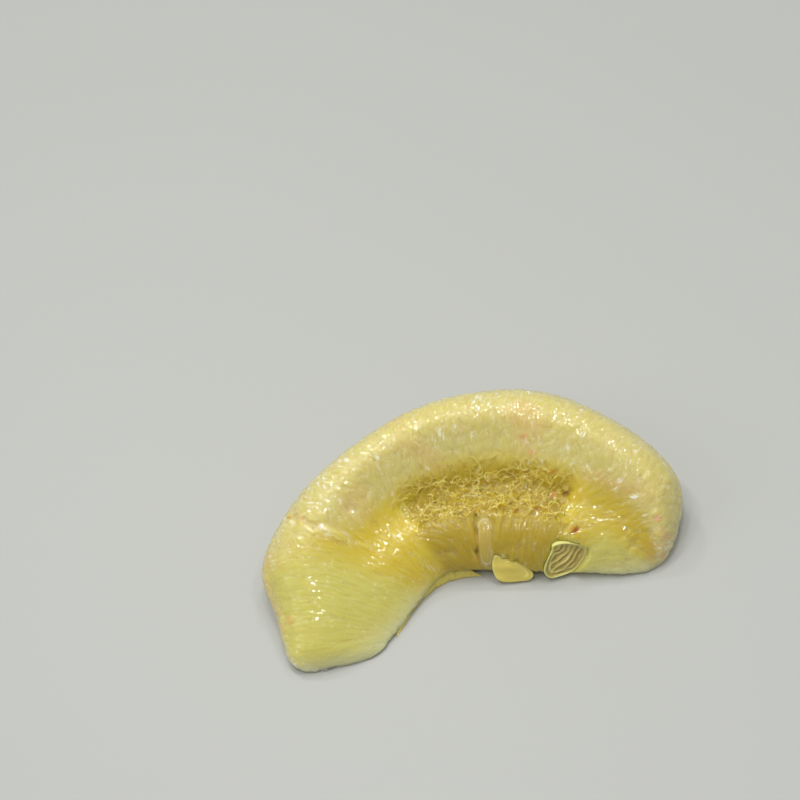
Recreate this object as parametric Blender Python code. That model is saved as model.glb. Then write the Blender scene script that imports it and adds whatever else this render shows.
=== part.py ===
"""A peeled pomelo segment, lying on one of its two flat sides.

The flesh is a half-moon wedge: thin along the core edge, thick and rounded along the rind side, and
covered all over with juice sacs that fan out from the core edge. A seed, a flap of membrane and a strip
of membrane sit in pockets along the core edge.

The frame: X runs along the half-moon from its left foot to its right foot, Y from the core edge to the
rind side and Z up. The origin is the centre of the footprint, on the surface that the segment lies on.
"""

import math
import random

import bpy
from mathutils import Matrix, Vector, noise

MM = 0.001

# Driving dimensions of the whole segment
LENGTH = 125 * MM
DEPTH = 71 * MM
HEIGHT = 32 * MM
# Room between the flesh and what sits in it, and how far its pocket runs out to the front
GAP = 0.35 * MM
POCKET_FRONT = 9 * MM

# The half-moon from above, from the left foot to the right foot, as shares of LENGTH and DEPTH
RIND_EDGE = [
    (-0.452, -0.525), (-0.466, -0.29), (-0.474, -0.045), (-0.325, 0.24), (-0.07, 0.45),
    (0.19, 0.44), (0.38, 0.22), (0.485, -0.05), (0.435, -0.30),
]
CORE_EDGE = [
    (-0.27, -0.52), (-0.20, -0.40), (-0.14, -0.285), (-0.085, -0.21), (-0.02, -0.21),
    (0.065, -0.25), (0.16, -0.285), (0.265, -0.32), (0.37, -0.35),
]
# How thick it is along the way, as shares of HEIGHT, and how much of a flat slab rather than a ridge
THICKNESS = [0.20, 0.44, 0.66, 0.88, 1.0, 1.0, 0.90, 0.66, 0.24]
SLAB = [1.0, 1.0, 0.7, 0.15, 0.0, 0.0, 0.1, 0.35, 0.6]

# The section, as shares of the way from core edge to rind edge and of the thickness there. It starts at
# the core edge's nose, goes over the upper side to the rind side, and comes back underneath.
RIDGE_SECTION = [
    (0.00, 0.14), (0.08, 0.38), (0.23, 0.52), (0.42, 0.55), (0.60, 0.78), (0.74, 0.97),
    (0.88, 0.94), (0.99, 0.70), (1.00, 0.38), (0.90, 0.06), (0.50, -0.02), (0.12, -0.01),
]
SLAB_SECTION = [
    (0.00, 0.08), (0.06, 0.26), (0.20, 0.52), (0.38, 0.76), (0.56, 0.94), (0.72, 1.00),
    (0.88, 0.88), (0.98, 0.60), (1.00, 0.30), (0.90, 0.05), (0.50, -0.02), (0.12, -0.01),
]

# Juice sacs, larger than life: how many lie side by side between the feet, and round each foot
SACS_ALONG = 24
SACS_ROUND_FOOT = 2
COLUMNS_PER_SAC = 4
COLUMNS = (SACS_ALONG + 2 * SACS_ROUND_FOOT) * COLUMNS_PER_SAC
# How soon each foot closes in, how square it is, and where in its section it closes to
FOOT_SHARE = 0.055
FOOT_SQUARENESS = 2.6
FOOT_CENTRE = (0.5, 0.04)
# Each row of sacs round the section: where it starts, its stations, and how far the tips stand out
SAC_ROWS = [
    (0.000, 6, 1.6 * MM),
    (0.165, 5, 1.0 * MM),
    (0.265, 4, 0.5 * MM),
    (0.335, 4, 0.3 * MM),
    (0.400, 4, 0.2 * MM),
    (0.460, 4, 0.2 * MM),
    (0.525, 4, 0.2 * MM),
    (0.595, 4, 0.2 * MM),
    (0.670, 4, 0.0),
    (0.745, 3, 0.0),
    (0.870, 3, 0.0),
]
SAC_SEED = 7
# Depth of the creases, as a share of a sac's width and at most, and how square a sac is across and along
CREASE_DEPTH = 0.36
DEEPEST_CREASE = 2.4 * MM
SQUARE_ACROSS = 2.2
SQUARE_ALONG = 2.5
# How unevenly the sacs lie: the rows' starts and round tips as shares of the way round the section, the
# sway of a column in columns, and the range of a sac's size and of its lift
ROW_SWAY = 0.030
TIP_ROUND = 0.020
COLUMN_SWAY = 0.45
SAC_SIZES = (0.75, 1.12)
SAC_LIFT = 0.7 * MM
WIDE_SAC = 6 * MM
# The split in the bundle at the core edge: its column of the skin, its rows of sacs and its depth
SPLIT_COLUMN = 58
SPLIT_ROWS = 2
SPLIT_DEPTH = 3.5 * MM

# The seed stands at the core edge and leans back. Its outline is seen from the front.
SEED_PLACE = (25.5 * MM, -17.6 * MM, 6.3 * MM)
SEED_LEAN = math.radians(70)
SEED_TURN = math.radians(4)
SEED_CORNERS = 36
SEED_OUTLINE = [
    (-2.6, 6.5), (1.6, 6.1), (7.0, 2.6), (4.7, -1.6), (2.0, -4.3),
    (-2.0, -5.2), (-5.6, -5.0), (-6.9, -2.2), (-5.2, 1.9), (-3.6, 4.4),
]
# Rings of the seed from its back to its rim, and from the rim to the middle of its hollow face: share of
# the outline, and height in mm
SEED_BACK = [(0.45, -4.6), (0.80, -3.8), (0.97, -2.2), (1.00, -0.5), (0.95, 0.4), (0.86, 0.5)]
SEED_FACE = [(0.78, -0.5), (0.60, -0.5), (0.42, -0.3), (0.24, -0.2), (0.10, -0.1)]
SEED_RIDGE_PITCH = 2.3 * MM
SEED_RIDGE_HEIGHT = 0.35 * MM
SEED_RIDGE_TURN = math.radians(40)
SEED_RIDGE_REACH = 0.78

# The flap of membrane beside it, a shallow teardrop
FLAP_PLACE = (9.8 * MM, -16.2 * MM, 4.4 * MM)
FLAP_LEAN = math.radians(62)
FLAP_TURN = math.radians(-4)
FLAP_CORNERS = 28
FLAP_OUTLINE = [
    (-4.6, 5.4), (-1.7, 4.2), (1.4, 2.9), (3.9, 0.9), (5.9, -2.4), (4.4, -4.2),
    (1.2, -4.3), (-2.7, -4.0), (-4.9, -2.4), (-5.7, 0.2), (-5.6, 3.2),
]
FLAP_RINGS = [(0.40, -1.5), (0.85, -1.2), (1.00, -0.4), (0.96, 0.2), (0.75, 0.6), (0.45, 0.9), (0.18, 1.0)]

# The strip of membrane along the core edge, in mm: places along its foot, with its height and lean there
STRIP_ROUTE = [
    (-26.6, -29.6, 1.7, 0.6), (-23.9, -26.2, 2.9, 1.2), (-21.0, -21.9, 3.3, 1.4), (-16.9, -17.9, 3.0, 1.4),
    (-12.2, -15.2, 4.4, 2.0), (-7.6, -13.8, 3.6, 1.4), (-3.2, -13.7, 3.0, 1.2), (0.6, -14.6, 1.8, 0.8),
]
STRIP_STATIONS = 40
STRIP_THICKNESS = 1.2 * MM
# Its section, from the front of its foot over its top to the back: shares of half its thickness and height
STRIP_SECTION = [(1, 0.0), (1, 0.55), (0.5, 0.93), (0, 1.0), (-0.5, 0.93), (-1, 0.55), (-1, 0.0)]
# How much its top edge and its thickness waver
STRIP_RUFFLE = 0.25
STRIP_WAVER = 0.35

FLESH_COLOUR = (0.72, 0.58, 0.20, 1.0)
SEED_COLOUR = (0.62, 0.55, 0.26, 1.0)
MEMBRANE_COLOUR = (0.74, 0.60, 0.16, 1.0)


def catmull_rom(four, t):
    a, b, c, d = four
    return 0.5 * (2 * b + (c - a) * t + (2 * a - 5 * b + 4 * c - d) * t**2 + (3 * b - a - 3 * c + d) * t**3)


def through(points, share):
    """The point at that share of the way along a smooth curve through evenly numbered points."""
    place = min(max(share, 0.0), 1.0) * (len(points) - 1)
    index = min(int(place), len(points) - 2)
    ends = [min(max(index + step, 0), len(points) - 1) for step in (-1, 0, 1, 2)]
    return catmull_rom([points[i] for i in ends], place - index)


def around(points, share):
    """The same on a closed curve."""
    place = (share % 1.0) * len(points)
    index = int(place)
    return catmull_rom([points[(index + step) % len(points)] for step in (-1, 0, 1, 2)], place - index)


RIND_LINE = [Vector((x * LENGTH, y * DEPTH)) for x, y in RIND_EDGE]
CORE_LINE = [Vector((x * LENGTH, y * DEPTH)) for x, y in CORE_EDGE]


def section_point(u, v):
    """A point round the section, between a ridge and a slab, and closed in towards the tip of either foot."""
    slab = through(SLAB, u)
    loop = [Vector(a).lerp(Vector(b), slab) for a, b in zip(RIDGE_SECTION, SLAB_SECTION)]
    centre = Vector(FOOT_CENTRE)
    inward = min(u, 1 - u) / FOOT_SHARE
    closed_in = (1 - max(0.0, 1 - inward) ** FOOT_SQUARENESS) ** (1 / FOOT_SQUARENESS)
    return centre + (around(loop, v) - centre) * closed_in


def envelope_point(u, v):
    """A point of the wedge without its sacs: u runs from foot to foot, and v round the section."""
    core = through(CORE_LINE, u)
    rind = through(RIND_LINE, u)
    reach, rise = section_point(u, v)
    plan = core + (rind - core) * reach
    return Vector((plan.x, plan.y, rise * HEIGHT * through(THICKNESS, u)))


def envelope_normal(u, v):
    """The outward direction of the wedge there."""
    step = 0.004
    low, high = max(u - step, 0.001), min(u + step, 0.999)
    across = envelope_point(high, v) - envelope_point(low, v)
    upward = envelope_point(u, v + step) - envelope_point(u, v - step)
    return upward.cross(across).normalized()


def column_share(column):
    """How far along the half-moon a column of the skin is. Columns crowd together round the feet."""
    foot_columns = SACS_ROUND_FOOT * COLUMNS_PER_SAC
    from_end = min(column, COLUMNS - column)
    if from_end < foot_columns:
        share = FOOT_SHARE * (1 - math.cos(0.5 * math.pi * from_end / foot_columns))
    else:
        share = FOOT_SHARE + (1 - 2 * FOOT_SHARE) * (from_end - foot_columns) / (COLUMNS - 2 * foot_columns)
    return share if column <= COLUMNS / 2 else 1 - share


def sac_at(row, column):
    """The sac that a column belongs to, and how far across it. Every other row is set off by half a sac."""
    sac, across = divmod(column + (row % 2) * COLUMNS_PER_SAC // 2, COLUMNS_PER_SAC)
    return sac, across / COLUMNS_PER_SAC


def row_start(row, column):
    """Where a row of sacs starts at that column: on the round tips of the row before, which end unevenly."""
    turns, row = divmod(row, len(SAC_ROWS))
    _, across = sac_at((row - 1) % len(SAC_ROWS), column)
    tip = TIP_ROUND * (4 * across * (1 - across) - 0.5)
    return turns + SAC_ROWS[row][0] + tip + ROW_SWAY * noise.noise(Vector((0.3 * column, 3.1 * row, 0.5)))


def sac_width(column, v):
    """How wide a sac is there."""
    before = column_share(max(column - COLUMNS_PER_SAC / 2, 0))
    after = column_share(min(column + COLUMNS_PER_SAC / 2, COLUMNS))
    return (envelope_point(after, v) - envelope_point(before, v)).length


def sac_back(across, along):
    """How full a sac is, from 0 in the creases round it to 1 along its back."""
    return math.sqrt((1 - abs(2 * across - 1) ** SQUARE_ACROSS) * (1 - abs(2 * along - 1) ** SQUARE_ALONG))


def split_depth(column, row, along):
    """How deep the split in the bundle is there."""
    if column != SPLIT_COLUMN or row >= SPLIT_ROWS:
        return 0.0
    return SPLIT_DEPTH * math.sin(math.pi * min(1, (row + along + 0.3) / SPLIT_ROWS))


def make_flesh():
    """The half-moon with all its juice sacs, as one closed skin over a grid that follows them."""
    draw = random.Random(SAC_SEED)
    sizes = [[draw.uniform(*SAC_SIZES) for _ in range(COLUMNS)] for _ in SAC_ROWS]
    lifts = [[draw.uniform(-SAC_LIFT, SAC_LIFT) for _ in range(COLUMNS)] for _ in SAC_ROWS]
    rings = []
    for column in range(1, COLUMNS):
        ring = []
        for row, (_, steps, tip) in enumerate(SAC_ROWS):
            sac, across = sac_at(row, column)
            start, end = row_start(row, column), row_start(row + 1, column)
            for step in range(steps):
                along = step / steps
                v = start + (end - start) * along
                sway = COLUMN_SWAY * noise.noise(Vector((0.4 * column, 9.0 * v, 7.7)))
                u = column_share(min(max(column + sway, 0.3), COLUMNS - 0.3))
                width = sac_width(column, v)
                full = sizes[row][sac] * sac_back(across, along)
                uneven = tip * along + lifts[row][sac] * min(1, width / WIDE_SAC)
                height = min(CREASE_DEPTH * width, DEEPEST_CREASE) * (full - 1) + uneven * full
                height -= split_depth(column, row, along)
                point = envelope_point(u, v) + envelope_normal(u, v) * height
                point.z = max(point.z, 0.0)
                ring.append(point)
        rings.append(ring)
    flesh = ring_body("flesh", rings)
    fit_to_size(flesh)
    return flesh


def fit_to_size(obj):
    """Bring a mesh to the driving dimensions, with its origin at the centre of its footprint."""
    points = [vertex.co for vertex in obj.data.vertices]
    low = Vector([min(point[axis] for point in points) for axis in range(3)])
    high = Vector([max(point[axis] for point in points) for axis in range(3)])
    size = high - low
    centre = Vector(((low.x + high.x) / 2, (low.y + high.y) / 2, low.z))
    scale = Matrix.Diagonal((LENGTH / size.x, DEPTH / size.y, HEIGHT / size.z, 1))
    obj.data.transform(scale @ Matrix.Translation(-centre))


def ring_body(name, rings):
    """A closed body skinned over rings of equally many points, with a point in the middle of each end."""
    sides = len(rings[0])
    start = sum(rings[0], Vector()) / sides
    end = sum(rings[-1], Vector()) / sides
    points = [start] + [point for ring in rings for point in ring] + [end]
    last = len(points) - 1
    faces = []
    for i in range(sides):
        after = (i + 1) % sides
        faces.append((0, 1 + i, 1 + after))
        for r in range(len(rings) - 1):
            low, high = 1 + r * sides, 1 + (r + 1) * sides
            faces.append((low + i, high + i, high + after, low + after))
        top = last - sides
        faces.append((last, top + after, top + i))
    mesh = bpy.data.meshes.new(name)
    mesh.from_pydata(points, [], faces)
    obj = bpy.data.objects.new(name, mesh)
    bpy.context.scene.collection.objects.link(obj)
    return obj


def smooth_outline(outline, count):
    """Points in metres on a smooth closed curve through an outline in mm, clockwise seen from the front."""
    corners = [Vector(corner) * MM for corner in outline]
    return [around(corners, i / count) for i in range(count)]


def facing_front(place, lean, turn):
    """A frame whose X runs along the core edge, whose Y climbs it and whose Z looks out to the front."""
    return Matrix.Translation(place) @ Matrix.Rotation(turn, 4, "Z") @ Matrix.Rotation(lean, 4, "X")


def level_ring(outline, share, height):
    """An outline drawn in to a share of its size, at one height."""
    return [(corner * share).to_3d() + Vector((0, 0, height)) for corner in outline]


def ridged_ring(outline, share, height):
    """The same with the ridges of the seed's hollow face on it, which fade out towards its rim."""
    ring = level_ring(outline, share, height)
    fade = max(0.0, 1 - (share / SEED_RIDGE_REACH) ** 4)
    for point in ring:
        across = point.y * math.cos(SEED_RIDGE_TURN) - point.x * math.sin(SEED_RIDGE_TURN)
        point.z += SEED_RIDGE_HEIGHT * fade * math.cos(2 * math.pi * across / SEED_RIDGE_PITCH)
    return ring


def make_pocket(name, outline, frame, back):
    """A cutter of an outline, larger by the gap, from behind a piece to well in front of it."""
    wider = 1 + GAP / min(corner.length for corner in outline)
    rings = [level_ring(outline, wider, back - GAP), level_ring(outline, wider, POCKET_FRONT)]
    pocket = ring_body(name, rings)
    pocket.data.transform(frame)
    return as_cutter(pocket)


def as_cutter(obj):
    obj.hide_render = True
    obj.display_type = "WIRE"
    return obj


def make_seed():
    """The seed: a rounded back, a raised rim and a ridged hollow face."""
    outline = smooth_outline(SEED_OUTLINE, SEED_CORNERS)
    rings = [level_ring(outline, share, height * MM) for share, height in SEED_BACK]
    rings += [ridged_ring(outline, share, height * MM) for share, height in SEED_FACE]
    seed = ring_body("seed", rings)
    frame = facing_front(SEED_PLACE, SEED_LEAN, SEED_TURN)
    seed.data.transform(frame)
    return seed, make_pocket("seed_pocket", outline, frame, SEED_BACK[0][1] * MM)


def make_flap():
    """The flap of membrane: a shallow, smooth teardrop."""
    outline = smooth_outline(FLAP_OUTLINE, FLAP_CORNERS)
    rings = [level_ring(outline, share, height * MM) for share, height in FLAP_RINGS]
    flap = ring_body("membrane_flap", rings)
    frame = facing_front(FLAP_PLACE, FLAP_LEAN, FLAP_TURN)
    flap.data.transform(frame)
    return flap, make_pocket("flap_pocket", outline, frame, FLAP_RINGS[0][1] * MM)


def strip_rings(grow, front):
    """Rings across the strip of membrane, larger by grow, with its outer side moved out by front."""
    route = [Vector((x, y)) * MM for x, y, _, _ in STRIP_ROUTE]
    heights = [height * MM for _, _, height, _ in STRIP_ROUTE]
    leans = [lean * MM for _, _, _, lean in STRIP_ROUTE]
    rings = []
    for station in range(STRIP_STATIONS + 1):
        share = station / STRIP_STATIONS
        foot = through(route, share)
        way = (through(route, share + 0.02) - through(route, share - 0.02)).normalized()
        out = Vector((way.y, -way.x))
        ends = min(1.0, 0.25 + 5 * min(share, 1 - share))
        ruffle = 1 + STRIP_RUFFLE * noise.noise(Vector((11 * share, 1.5, 0)))
        waver = 1 + STRIP_WAVER * noise.noise(Vector((9 * share, 4.5, 0)))
        height = through(heights, share) * ruffle * ends + grow
        lean = through(leans, share) * ends
        half = 0.5 * STRIP_THICKNESS * waver * ends + grow
        ring = []
        for side, rise in STRIP_SECTION:
            plan = foot + out * (side * half + (front if side > 0 else 0) - lean * rise**1.5)
            ring.append(Vector((plan.x, plan.y, rise * height if rise else -grow)))
        rings.append(ring)
    return rings


def make_strip():
    """The strip of membrane left along the core edge."""
    strip = ring_body("core_membrane", strip_rings(0, 0))
    return strip, as_cutter(ring_body("strip_pocket", strip_rings(GAP, POCKET_FRONT)))


def paint(obj, name, colour, roughness):
    material = bpy.data.materials.new(name)
    material.use_nodes = True
    shader = material.node_tree.nodes["Principled BSDF"]
    shader.inputs["Base Color"].default_value = colour
    shader.inputs["Roughness"].default_value = roughness
    shader.inputs["Metallic"].default_value = 0.0
    obj.data.materials.append(material)


def clear_scene():
    for obj in list(bpy.data.objects):
        bpy.data.objects.remove(obj)


def main():
    clear_scene()
    flesh = make_flesh()
    seed, seed_pocket = make_seed()
    flap, flap_pocket = make_flap()
    strip, strip_pocket = make_strip()
    for pocket in (seed_pocket, flap_pocket, strip_pocket):
        cut = flesh.modifiers.new(pocket.name, "BOOLEAN")
        cut.operation = "DIFFERENCE"
        cut.object = pocket
    paint(flesh, "juice_sacs", FLESH_COLOUR, 0.25)
    paint(seed, "seed_coat", SEED_COLOUR, 0.45)
    paint(flap, "waxy_membrane", MEMBRANE_COLOUR, 0.4)
    paint(strip, "core_strip_membrane", MEMBRANE_COLOUR, 0.45)


main()
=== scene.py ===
"""A peeled pomelo segment in its finished look: wet juice sacs, a seed, a flap and a strip of membrane.

The flesh is one closed body: modelled juice sacs, fused with each other and with the bed that they sink into.
The sacs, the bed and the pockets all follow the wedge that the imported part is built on.
"""

import math

import bpy
import numpy as np
from bpy.props import FloatProperty, FloatVectorProperty, IntProperty, PointerProperty
from mathutils import Matrix, Vector, kdtree


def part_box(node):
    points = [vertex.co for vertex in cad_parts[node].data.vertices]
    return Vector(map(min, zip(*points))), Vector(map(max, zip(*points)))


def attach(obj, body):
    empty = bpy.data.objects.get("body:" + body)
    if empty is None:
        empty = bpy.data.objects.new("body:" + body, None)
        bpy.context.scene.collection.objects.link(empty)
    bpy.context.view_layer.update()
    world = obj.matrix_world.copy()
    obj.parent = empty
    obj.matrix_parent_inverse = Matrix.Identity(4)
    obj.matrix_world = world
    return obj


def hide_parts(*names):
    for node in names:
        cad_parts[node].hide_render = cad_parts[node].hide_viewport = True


bl_info = {
    "name": "Peeled pomelo segment",
    "version": (1, 0, 0),
    "blender": (4, 5, 0),
    "location": "3D View > Sidebar > Pomelo",
    "description": "Builds the juice sacs, the seed and the membranes of a peeled pomelo segment",
    "category": "Object",
}

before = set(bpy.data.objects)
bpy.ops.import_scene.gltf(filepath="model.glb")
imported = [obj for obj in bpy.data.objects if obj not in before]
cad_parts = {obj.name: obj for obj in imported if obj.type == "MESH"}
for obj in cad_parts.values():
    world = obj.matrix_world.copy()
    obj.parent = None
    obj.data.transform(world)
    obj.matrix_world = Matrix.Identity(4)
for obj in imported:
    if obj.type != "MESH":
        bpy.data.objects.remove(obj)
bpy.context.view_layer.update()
FLESH_LOW, FLESH_HIGH = (np.array(corner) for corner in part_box("flesh"))

MM = 0.001

# The half-moon from above, from the left foot to the right foot, as shares of its length and depth
LENGTH, DEPTH, HEIGHT = FLESH_HIGH - FLESH_LOW
RIND_EDGE = [
    (-0.452, -0.525), (-0.466, -0.29), (-0.474, -0.045), (-0.325, 0.24), (-0.07, 0.45),
    (0.19, 0.44), (0.38, 0.22), (0.485, -0.05), (0.435, -0.30),
]
CORE_EDGE = [
    (-0.27, -0.52), (-0.20, -0.40), (-0.14, -0.285), (-0.085, -0.21), (-0.02, -0.21),
    (0.065, -0.25), (0.16, -0.285), (0.265, -0.32), (0.37, -0.35),
]
# How thick it is along the way, as shares of its height, and how much of a slab rather than a ridge
THICKNESS = [0.20, 0.44, 0.66, 0.88, 1.0, 1.0, 0.90, 0.66, 0.24]
SLAB = [1.0, 1.0, 0.7, 0.15, 0.0, 0.0, 0.1, 0.35, 0.6]
# The section, from the nose of the core edge over the upper side to the rind side and back underneath
RIDGE_SECTION = [
    (0.00, 0.14), (0.08, 0.38), (0.23, 0.52), (0.42, 0.55), (0.60, 0.78), (0.74, 0.97),
    (0.88, 0.94), (0.99, 0.70), (1.00, 0.38), (0.90, 0.06), (0.50, -0.02), (0.12, -0.01),
]
SLAB_SECTION = [
    (0.00, 0.08), (0.06, 0.26), (0.20, 0.52), (0.38, 0.76), (0.56, 0.94), (0.72, 1.00),
    (0.88, 0.88), (0.98, 0.60), (1.00, 0.30), (0.90, 0.05), (0.50, -0.02), (0.12, -0.01),
]
FOOT_SHARE = 0.055
FOOT_SQUARENESS = 2.6
FOOT_CENTRE = np.array((0.5, 0.04))
# How near the tips of the feet a sac may run
ALONG_LIMITS = (0.002, 0.998)

# The seed and the flap of membrane, with the outlines that their pockets share, in mm
SEED_PLACE = (25.5, -17.6, 6.3)
SEED_LEAN, SEED_TURN = 70, 4
SEED_OUTLINE = [
    (-2.6, 6.5), (1.6, 6.1), (7.0, 2.6), (4.7, -1.6), (2.0, -4.3),
    (-2.0, -5.2), (-5.6, -5.0), (-6.9, -2.2), (-5.2, 1.9), (-3.6, 4.4),
]
SEED_BACK = -4.6
FLAP_PLACE = (9.8, -16.2, 4.4)
FLAP_LEAN, FLAP_TURN = 62, -4
FLAP_OUTLINE = [
    (-4.6, 5.4), (-1.7, 4.2), (1.4, 2.9), (3.9, 0.9), (5.9, -2.4), (4.4, -4.2),
    (1.2, -4.3), (-2.7, -4.0), (-4.9, -2.4), (-5.7, 0.2), (-5.6, 3.2),
]
FLAP_BACK = -1.5
POCKET_GAP = 0.35

# The strip of membrane along the core edge, in mm: its foot, with its height and lean there
STRIP_ROUTE = [
    (-26.6, -29.6, 1.7, 0.6), (-23.9, -26.2, 2.9, 1.2), (-21.0, -21.9, 3.3, 1.4), (-16.9, -17.9, 3.0, 1.4),
    (-12.2, -15.2, 4.4, 2.0), (-7.6, -13.8, 3.6, 1.4), (-3.2, -13.7, 3.0, 1.2), (0.6, -14.6, 1.8, 0.8),
]
STRIP_SECTION = [(1, 0.0), (1, 0.55), (0.5, 0.93), (0, 1.0), (-0.5, 0.93), (-1, 0.55), (-1, 0.0)]

# Deep gaps between the sacs, as places along and round the wedge, with radius and depth in mm
GAPS = [
    (0.705, 0.240, 1.2, 1.0), (0.683, 0.190, 1.3, 0.8), (0.640, 0.178, 0.9, 0.8),
    (0.725, 0.252, 1.2, 1.1), (0.782, 0.154, 1.7, 0.8), (0.690, 0.290, 0.9, 0.6),
]
# Cracks, as a line of places along and round the wedge, with half width and depth in mm
CRACKS = [
    ([(0.552, 0.176), (0.545, 0.130), (0.541, 0.092), (0.532, 0.020)], 0.5, 1.6),
    ([(0.304, 0.540), (0.302, 0.490), (0.297, 0.440), (0.292, 0.398)], 0.5, 1.4),
]
# Spots of stronger colour, as places along and round the wedge, with radius in mm and strength
SPOTS = [
    (0.637, 0.350, 1.6, 0.8), (0.652, 0.318, 1.3, 0.8), (0.928, 0.380, 1.5, 1.0), (0.960, 0.470, 1.5, 1.0),
    (0.985, 0.536, 1.7, 1.0), (0.100, 0.520, 2.0, 0.5), (0.240, 0.560, 2.6, 0.4), (0.300, 0.470, 1.8, 0.4),
]
# Sacs that lie apart from the rest: place along and round, length, width and stand in mm, turn and fullness
LOOSE_SACS = [
    (0.296, 0.338, 10.5, 3.0, 0.50, -0.05, 0.36), (0.303, 0.258, 5.5, 1.7, 0.35, 0.15, 0.42),
    (0.567, 0.085, 15.0, 4.6, 0.25, -0.02, 0.16), (0.340, 0.310, 6.5, 1.9, 0.30, -0.25, 0.36),
]

CAMERA_ELEVATION = math.radians(53.8)
CAMERA_ROLL = math.radians(10.6)
CAMERA_AIM = Vector((-0.0135, 0.0550, 0.0))
CAMERA_DISTANCE = 0.9
CAMERA_LENS = 131
# Name, place, size and power of each light, in metres and watts; the small lamps make the highlights
LIGHTS = [
    ("overhead_light", (-0.10, 0.25, 0.95), 0.55, 1.0), ("left_light", (-0.75, -0.15, 0.65), 0.45, 0.9),
    ("middle_lamp", (0.10, 0.18, 1.03), 0.08, 0.85), ("far_left_lamp", (-0.25, 0.60, 0.85), 0.09, 0.95),
    ("far_right_lamp", (0.28, 0.48, 0.92), 0.08, 0.85), ("near_lamp", (-0.05, -0.36, 0.98), 0.08, 0.85),
    ("right_lamp", (0.34, -0.06, 0.98), 0.08, 0.85), ("left_lamp", (-0.34, 0.10, 0.98), 0.08, 0.85),
    ("back_lamp", (-0.04, 0.36, 1.00), 0.08, 0.85), ("near_left_lamp", (-0.22, -0.12, 1.02), 0.08, 0.85),
]


# The wedge


def catmull_rom(a, b, c, d, t):
    return 0.5 * (2 * b + (c - a) * t + (2 * a - 5 * b + 4 * c - d) * t**2 + (3 * b - a - 3 * c + d) * t**3)


def through(points, share):
    """The points at those shares of the way along a smooth curve through evenly numbered points."""
    points = np.asarray(points, float)
    points = points.reshape(len(points), -1)
    place = np.clip(share, 0.0, 1.0) * (len(points) - 1)
    index = np.minimum(place.astype(int), len(points) - 2)
    near = [points[np.clip(index + step, 0, len(points) - 1)] for step in (-1, 0, 1, 2)]
    return catmull_rom(*near, (place - index)[:, None])


def around(loops, share):
    """The same on closed curves, one for each share."""
    count = loops.shape[1]
    place = (share % 1.0) * count
    index = place.astype(int)
    rows = np.arange(len(share))
    near = [loops[rows, (index + step) % count] for step in (-1, 0, 1, 2)]
    return catmull_rom(*near, (place - index)[:, None])


def smooth(low, high, value):
    """A smooth step from 0 at low to 1 at high."""
    share = np.clip((value - low) / (high - low), 0, 1)
    return share * share * (3 - 2 * share)


def blend(low, high, share):
    return low + (high - low) * share


def spread_at_feet(along):
    """Where a place along the skin is on the half-moon: places crowd together round the feet."""
    from_end = np.minimum(along, 1 - along)
    foot = FOOT_SHARE * (1 - np.cos(0.5 * np.pi * from_end / FOOT_SHARE))
    share = np.where(from_end < FOOT_SHARE, foot, from_end)
    return np.where(along <= 0.5, share, 1 - share)


def plan_edges(share):
    """The core edge and the rind edge of the half-moon at those shares of the way along."""
    return (through(np.array(edge) * (LENGTH, DEPTH), share) for edge in (CORE_EDGE, RIND_EDGE))


def raw_wedge(along, round_it):
    """Points of the wedge without its sacs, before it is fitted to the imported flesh."""
    along = np.clip(along, 0, 1)
    share = spread_at_feet(along)
    slab = through(SLAB, share)[:, :, None]
    loops = blend(np.array(RIDGE_SECTION)[None], np.array(SLAB_SECTION)[None], slab)
    inward = np.minimum(share, 1 - share) / FOOT_SHARE
    closed_in = (1 - np.maximum(0, 1 - inward) ** FOOT_SQUARENESS) ** (1 / FOOT_SQUARENESS)
    section = FOOT_CENTRE + (around(loops, round_it) - FOOT_CENTRE) * closed_in[:, None]
    core, rind = plan_edges(share)
    plan = core + (rind - core) * section[:, :1]
    rise = section[:, 1:] * HEIGHT * through(THICKNESS, share)
    return np.hstack([plan, np.maximum(rise, 0)])


def fit_of_wedge():
    """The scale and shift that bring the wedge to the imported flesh."""
    along, round_it = np.meshgrid(np.linspace(0, 1, 300), np.linspace(0, 1, 300))
    points = raw_wedge(along.ravel(), round_it.ravel())
    low, high = points.min(0), points.max(0)
    scale = (FLESH_HIGH - FLESH_LOW) / (high - low)
    return scale, FLESH_LOW - low * scale


FIT_SCALE, FIT_SHIFT = fit_of_wedge()


def wedge(along, round_it):
    return raw_wedge(along, round_it) * FIT_SCALE + FIT_SHIFT


def unit(vectors):
    return vectors / np.maximum(np.linalg.norm(vectors, axis=-1, keepdims=True), 1e-12)


def dot(a, b):
    return np.sum(a * b, axis=-1)


def wedge_slopes(along, round_it):
    """How the wedge runs along and round, and its outward direction."""
    step = 0.004
    along = np.clip(along, 0.008, 0.992)
    by_along = (wedge(along + step, round_it) - wedge(along - step, round_it)) / (2 * step)
    by_round = (wedge(along, round_it + step) - wedge(along, round_it - step)) / (2 * step)
    return by_along, by_round, unit(np.cross(by_along, by_round))


def wander(points, size, seed):
    """Smooth random numbers from about -1 to 1 that change over that size."""
    draw = np.random.default_rng(seed)
    total = np.zeros(len(points))
    for _ in range(6):
        direction = unit(draw.normal(size=3))
        wave = draw.uniform(0.7, 1.5) * 2 * np.pi / size
        total += np.sin(dot(points, direction) * wave + draw.uniform(0, 2 * np.pi))
    return total / 2.6


# Zones of the flesh


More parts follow.
